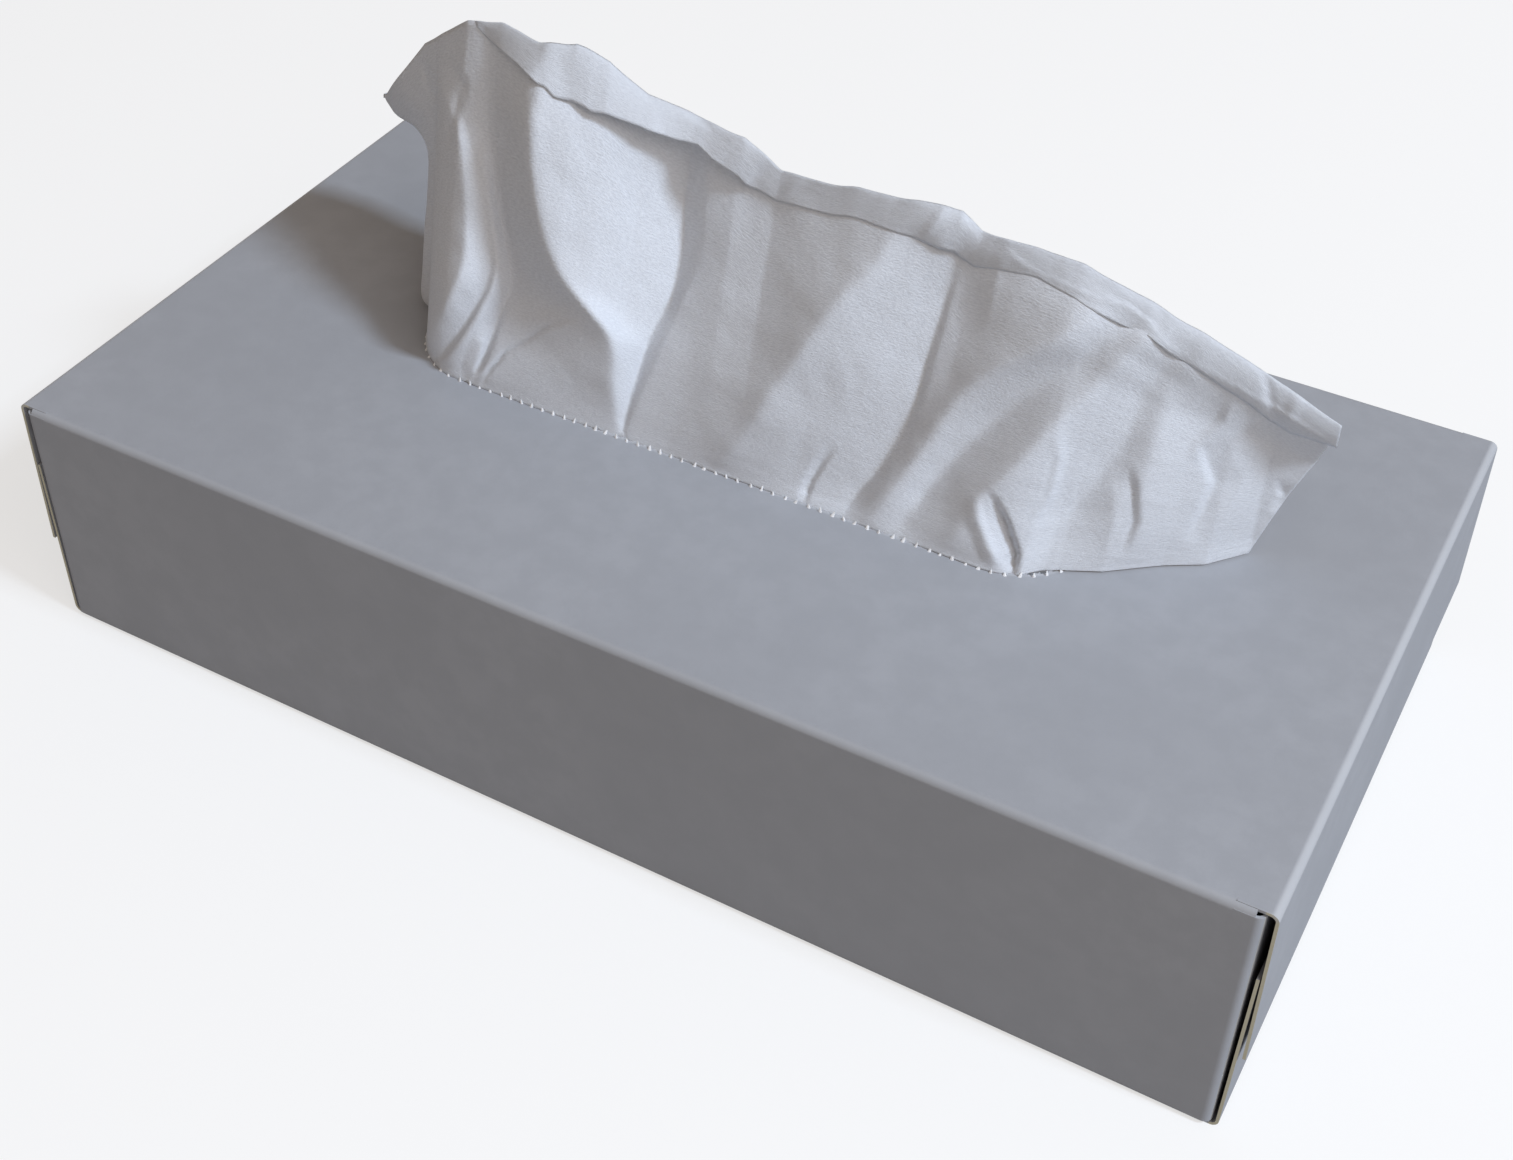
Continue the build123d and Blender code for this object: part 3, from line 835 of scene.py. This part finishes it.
def tissue_grid():
    """Every point of the sheet, row by row from its buried edge to its hem."""
    share = np.linspace(0, 1, COLUMNS + 1)
    face, u, v, depth = sheet_face(share)
    rows = np.concatenate([buried_half(share, face[0]), face, sheet_hem(u, v, depth)])
    heights = np.concatenate([np.zeros(BURIED_ROWS), v[:, 0], np.ones(HEM_ROWS)])
    return np.concatenate([hidden_side(rows, heights), rows], axis=1)


# Pieces


def piece_of(bm, name, material):
    """A new object made of a finished bmesh."""
    mesh = bpy.data.meshes.new(name)
    bm.to_mesh(mesh)
    bm.free()
    mesh.materials.append(material)
    piece = bpy.data.objects.new(name, mesh)
    bpy.context.scene.collection.objects.link(piece)
    return piece


def drawn_tissue():
    """The sheet that is drawn up through the slot."""
    points = tissue_grid()
    rows, columns = points.shape[:2]
    last_neck = RETURN_COLUMNS + round(COLUMNS * NECK_SHARE)
    bm = bmesh.new()
    bm.loops.layers.uv.new("flat")
    bmesh.ops.create_grid(bm, x_segments=columns - 1, y_segments=rows - 1, size=0.5, calc_uvs=True)
    outside = []
    for vert in bm.verts:
        i = round((vert.co.x + 0.5) * (columns - 1))
        j = round((vert.co.y + 0.5) * (rows - 1))
        vert.co = Vector(points[j, i]) * MM
        if i > last_neck and j < BURIED_ROWS:
            outside.append(vert)
    bmesh.ops.delete(bm, geom=outside, context="VERTS")
    piece = piece_of(bm, "drawn_tissue", tissue_paper())
    piece.data.polygons.foreach_set("use_smooth", [True] * len(piece.data.polygons))
    plies = piece.modifiers.new("plies", "SOLIDIFY")
    plies.thickness = SHEET_THICKNESS * MM
    plies.offset = 0
    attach(piece, "root")
    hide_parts("pulled_tissue")


def along_slot(along):
    """The spot so far along the slot's front and right end, and the turn of the outline there."""
    turn = max(along - SLOT_STRAIGHT, 0.0) / SLOT_RADIUS
    reach = SLOT_RADIUS + TIP_OUT
    x = min(along, SLOT_STRAIGHT) - SLOT_STRAIGHT / 2 + reach * math.sin(turn)
    return Vector((x, -reach * math.cos(turn), 0)), turn


def add_tip(bm, at, rng):
    """One frayed tip, so far along the whole outline of the slot."""
    half, along = divmod(at, SLOT_STRAIGHT + math.pi * SLOT_RADIUS)
    spot, turn = along_slot(along)
    cone = {"segments": 6, "radius1": TIP_FOOT, "radius2": TIP_END, "depth": 1.0}
    tip = bmesh.ops.create_cone(bm, cap_ends=True, **cone)["verts"]
    wide, tall = rng.uniform(0.6, 0.9), rng.uniform(0.7, 1.1)
    forward, sideways = -rng.uniform(0.15, 0.7), rng.uniform(-0.35, 0.35)
    lean = Matrix.Rotation(forward, 3, "X") @ Matrix.Rotation(sideways, 3, "Y")
    bmesh.ops.scale(bm, verts=tip, vec=(wide, TIP_THIN, tall))
    bmesh.ops.translate(bm, verts=tip, vec=(0, 0, tall * TIP_LIFT))
    bmesh.ops.rotate(bm, verts=tip, cent=(0, 0, 0), matrix=lean)
    bmesh.ops.rotate(bm, verts=tip, cent=(0, 0, 0), matrix=Matrix.Rotation(turn, 3, "Z"))
    bmesh.ops.translate(bm, verts=tip, vec=spot + Vector((0, 0, BOX_HEIGHT - TIP_SUNK)))
    bmesh.ops.rotate(bm, verts=tip, cent=(0, 0, 0), matrix=Matrix.Rotation(half * math.pi, 3, "Z"))


def torn_edge():
    """Frayed tips of board that stand up round the slot where the panel was torn out."""
    rng = random.Random(7)
    outline = 2 * (SLOT_STRAIGHT + math.pi * SLOT_RADIUS)
    bm = bmesh.new()
    for i in range(round(outline / TOOTH_PITCH)):
        add_tip(bm, (i + rng.uniform(-0.1, 0.1)) * TOOTH_PITCH % outline, rng)
    bmesh.ops.scale(bm, verts=bm.verts, vec=(MM, MM, MM))
    piece = piece_of(bm, "torn_edge", torn_fibre())
    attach(piece, "root")


def paint(node, material):
    """Gives a CAD node its finish."""
    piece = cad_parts[node]
    piece.data.materials.clear()
    piece.data.materials.append(material)


# Stage


def pale_floor():
    """A wide floor that reads white behind the object and keeps its shadow."""
    mat = Finish("floor")
    pale = mat.node("ShaderNodeBsdfDiffuse", {}, {"Color": (0.95, 0.95, 0.95, 1.0)})
    white = mat.node("ShaderNodeEmission", {}, {"Color": (1.0, 1.0, 1.0, 1.0), "Strength": 1.0})
    shown = mat.node("ShaderNodeMixShader", {}, {0: 0.62, 1: pale, 2: white})
    to_camera = mat.node("ShaderNodeLightPath")
    mat.cover(to_camera, shown)
    bm = bmesh.new()
    bmesh.ops.create_grid(bm, x_segments=1, y_segments=1, size=FLOOR_HALF)
    floor = piece_of(bm, "floor", mat.finish(color=(0.42, 0.42, 0.42, 1.0), roughness=0.9))


def soft_box(name, place, size, watts, color):
    """A square soft light at a place, aimed at the object."""
    light = bpy.data.lights.new(name, "AREA")
    light.size = size
    light.energy = watts
    light.color = color
    lamp = bpy.data.objects.new(name, light)
    bpy.context.scene.collection.objects.link(lamp)
    lamp.location = place
    lamp.rotation_euler = (Vector(LAMP_AIM) - Vector(place)).to_track_quat("-Z", "Y").to_euler()


def studio():
    """A soft window light from the right, a wider one beside it and an even warm room."""
    for lamp in LAMPS:
        soft_box(*lamp)
    world = bpy.data.worlds.new("room")
    world.use_nodes = True
    back = world.node_tree.nodes["Background"]
    back.inputs["Color"].default_value = ROOM_COLOR
    back.inputs["Strength"].default_value = ROOM_STRENGTH
    bpy.context.scene.world = world


def photo_camera():
    data = bpy.data.cameras.new("camera")
    data.lens = CAMERA_LENS
    data.sensor_width = 36.0
    data.shift_x, data.shift_y = CAMERA_SHIFT
    data.clip_start = 0.01
    camera = bpy.data.objects.new("camera", data)
    bpy.context.scene.collection.objects.link(camera)
    camera.location = CAMERA_PLACE
    camera.rotation_euler = Euler([math.radians(turn) for turn in CAMERA_TURN])
    bpy.context.scene.camera = camera


paint("carton", carton_board())
paint("tissue_stack", stacked_paper())
drawn_tissue()
torn_edge()
pale_floor()
studio()
photo_camera()
bpy.context.scene.view_settings.view_transform = "Standard"
